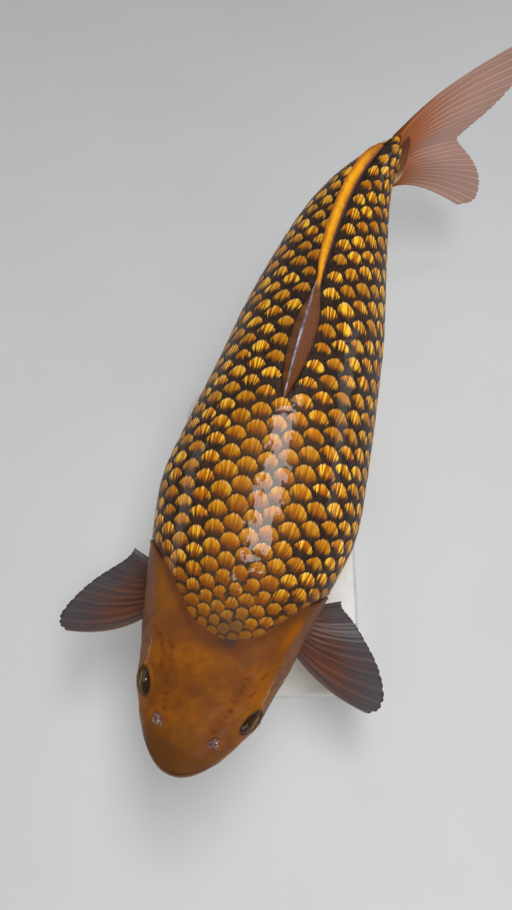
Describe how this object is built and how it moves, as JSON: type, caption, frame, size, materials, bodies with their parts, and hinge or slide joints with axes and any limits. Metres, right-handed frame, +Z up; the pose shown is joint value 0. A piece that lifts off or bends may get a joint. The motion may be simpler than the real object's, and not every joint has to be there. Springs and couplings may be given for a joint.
{
  "type": "koi carp display model",
  "caption": "Life-size koi carp in a gentle swimming bend with its paired fins spread, held over a flat base on short rods.",
  "frame": {"origin": "centre of the stand base's flat underside, below the place where the fish balances", "axes": "+Z up; the head points towards -Y, the tail towards +Y and bending to +X, which is the fish's left"},
  "size_m": [0.3712, 0.5415, 0.271],
  "materials": {
    "head_skin": "smooth wet skin, amber brown",
    "scaled_skin": "wet scales, gold with dark roots",
    "fin_skin": "thin ribbed fin skin, red brown",
    "lip_skin": "soft dark red-brown skin",
    "eye_surface": "clear dark eye with a gold ring",
    "base_finish": "satin pale grey lacquer",
    "rod_metal": "brushed"
  },
  "bodies": {
    "root": {"head": "head_skin", "gill_cover_left": "head_skin", "gill_cover_right": "head_skin", "upper_lip": "lip_skin", "lower_lip": "lip_skin", "barbel_front_left": "lip_skin", "barbel_front_right": "lip_skin", "barbel_rear_left": "lip_skin", "barbel_rear_right": "lip_skin", "nostril_flap_left": "lip_skin", "nostril_flap_right": "lip_skin", "eye_left": "eye_surface", "eye_right": "eye_surface", "trunk_front": "scaled_skin", "trunk_middle": "scaled_skin", "trunk_rear": "scaled_skin", "tail_stem": "scaled_skin", "dorsal_fin": "fin_skin", "caudal_fin_upper": "fin_skin", "caudal_fin_lower": "fin_skin", "anal_fin": "fin_skin", "pectoral_fin_left": "fin_skin", "pectoral_fin_right": "fin_skin", "pelvic_fin_left": "fin_skin", "pelvic_fin_right": "fin_skin", "stand_base": "base_finish", "stand_rod_front": "rod_metal", "stand_rod_rear": "rod_metal"}
  },
  "joints": []
}
